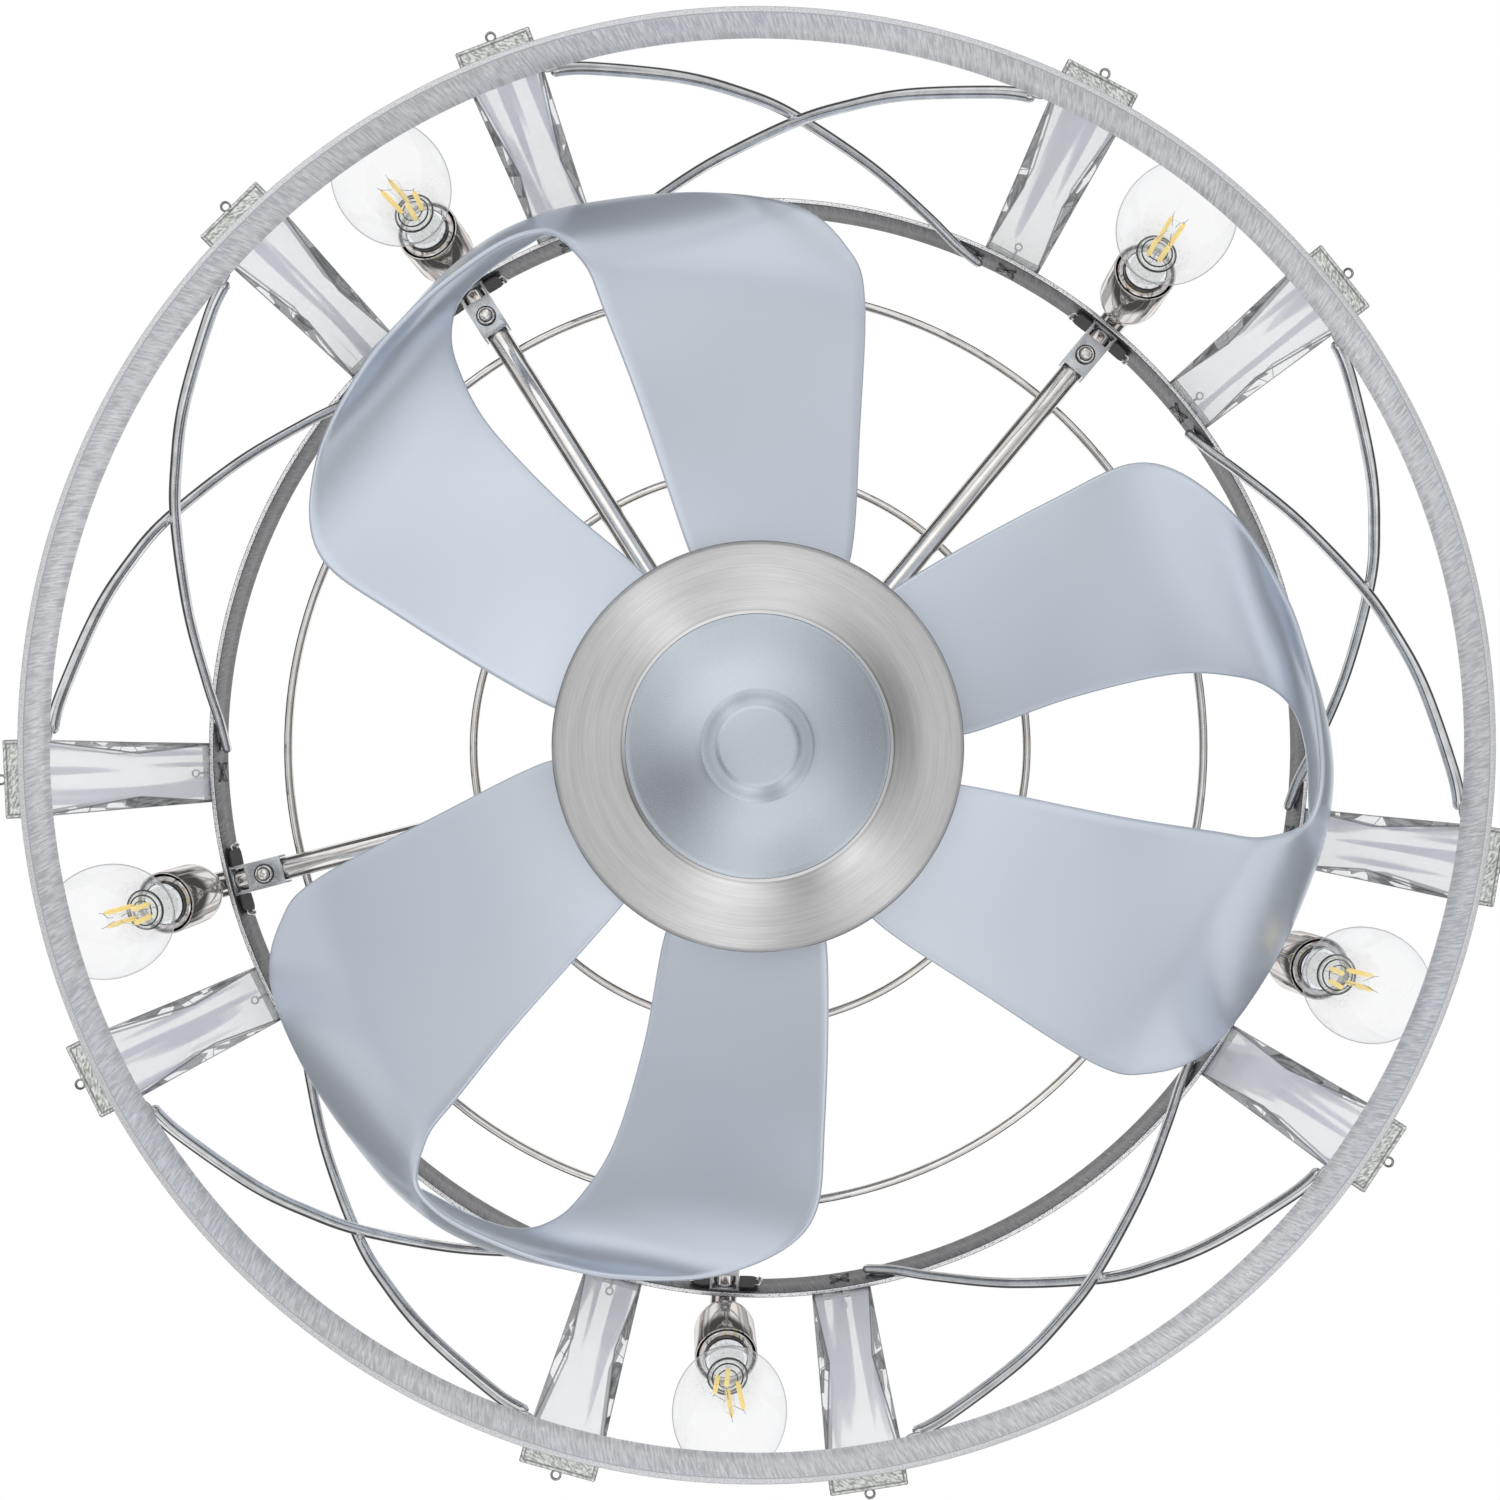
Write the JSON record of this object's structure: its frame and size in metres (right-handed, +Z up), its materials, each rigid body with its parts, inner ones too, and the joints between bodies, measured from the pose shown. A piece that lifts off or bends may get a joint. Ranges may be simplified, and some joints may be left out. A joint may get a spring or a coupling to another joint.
{
  "type": "ceiling fan with lamps",
  "caption": "Ceiling fan with looped blades inside a round open cage of hoops, crossed rods and glass bars, with glass lamps round the rim.",
  "frame": {"origin": "centre of the ceiling bracket's top face, on the ceiling", "axes": "+Z up along the motor's axis; the ceiling face is z = 0 and the fan hangs below it"},
  "size_m": [0.5288, 0.5251, 0.219],
  "materials": {
    "nickel": "brushed nickel",
    "steel": "brushed",
    "rod_chrome": "polished",
    "silver_paint": "satin silver paint",
    "dark_steel": "dull",
    "case_aluminium": "cast",
    "winding": "enamelled copper over laminated steel",
    "clear_glass": "clear"
  },
  "bodies": {
    "frame": {"ceiling_bracket": "dark_steel", "canopy": "nickel", "canopy_screw_1": "nickel", "canopy_screw_2": "nickel", "hanger_tube": "nickel", "arm_hub": "nickel", "guard_wire_outer": "nickel", "guard_wire_inner": "nickel", "top_hoop": "steel", "bottom_hoop": "steel", "motor_shroud": "nickel", "motor_shaft": "dark_steel", "stator": "winding", "arm_1": "nickel", "end_bracket_1": "steel", "lamp_holder_1": "nickel", "rod_cross_1": "rod_chrome", "arm_2": "nickel", "end_bracket_2": "steel", "lamp_holder_2": "nickel", "rod_cross_2": "rod_chrome", "arm_3": "nickel", "end_bracket_3": "steel", "lamp_holder_3": "nickel", "rod_cross_3": "rod_chrome", "arm_4": "nickel", "end_bracket_4": "steel", "lamp_holder_4": "nickel", "rod_cross_4": "rod_chrome", "arm_5": "nickel", "end_bracket_5": "steel", "lamp_holder_5": "nickel", "rod_cross_5": "rod_chrome", "glass_bar_1": "clear_glass", "glass_bar_2": "clear_glass", "glass_bar_3": "clear_glass", "glass_bar_4": "clear_glass", "glass_bar_5": "clear_glass", "glass_bar_6": "clear_glass", "glass_bar_7": "clear_glass", "glass_bar_8": "clear_glass", "glass_bar_9": "clear_glass", "glass_bar_10": "clear_glass"},
    "rotor": {"rotor_cover": "case_aluminium", "rotor_bell": "case_aluminium", "upper_bearing": "case_aluminium", "lower_bearing": "case_aluminium", "blade_hub": "dark_steel", "blade_loop_1": "silver_paint", "blade_loop_2": "silver_paint", "blade_loop_3": "silver_paint", "blade_clamp": "dark_steel", "hub_cover": "nickel", "hub_cap": "silver_paint"},
    "lamp_1": {"bulb_1": "clear_glass"},
    "lamp_2": {"bulb_2": "clear_glass"},
    "lamp_3": {"bulb_3": "clear_glass"},
    "lamp_4": {"bulb_4": "clear_glass"},
    "lamp_5": {"bulb_5": "clear_glass"}
  },
  "joints": [
    {"name": "fan_spin", "type": "hinge", "parent": "frame", "child": "rotor", "pos_m": [0, 0, -0.15], "axis": [0, 0, 1], "continuous": true},
    {"name": "bulb_1_out", "type": "slide", "parent": "frame", "child": "lamp_1", "axis": [0.0806, 0.0095, -0.9967], "range_m": [0, 0.02]},
    {"name": "bulb_2_out", "type": "slide", "parent": "frame", "child": "lamp_2", "axis": [0.078, 0.144, -0.9865], "range_m": [0, 0.02]},
    {"name": "bulb_3_out", "type": "slide", "parent": "frame", "child": "lamp_3", "axis": [-0.1625, 0.099, -0.9817], "range_m": [0, 0.02]},
    {"name": "bulb_4_out", "type": "slide", "parent": "frame", "child": "lamp_4", "axis": [-0.1442, -0.1302, -0.9809], "range_m": [0, 0.02]},
    {"name": "bulb_5_out", "type": "slide", "parent": "frame", "child": "lamp_5", "axis": [0.0502, -0.1833, -0.9818], "range_m": [0, 0.02]}
  ]
}
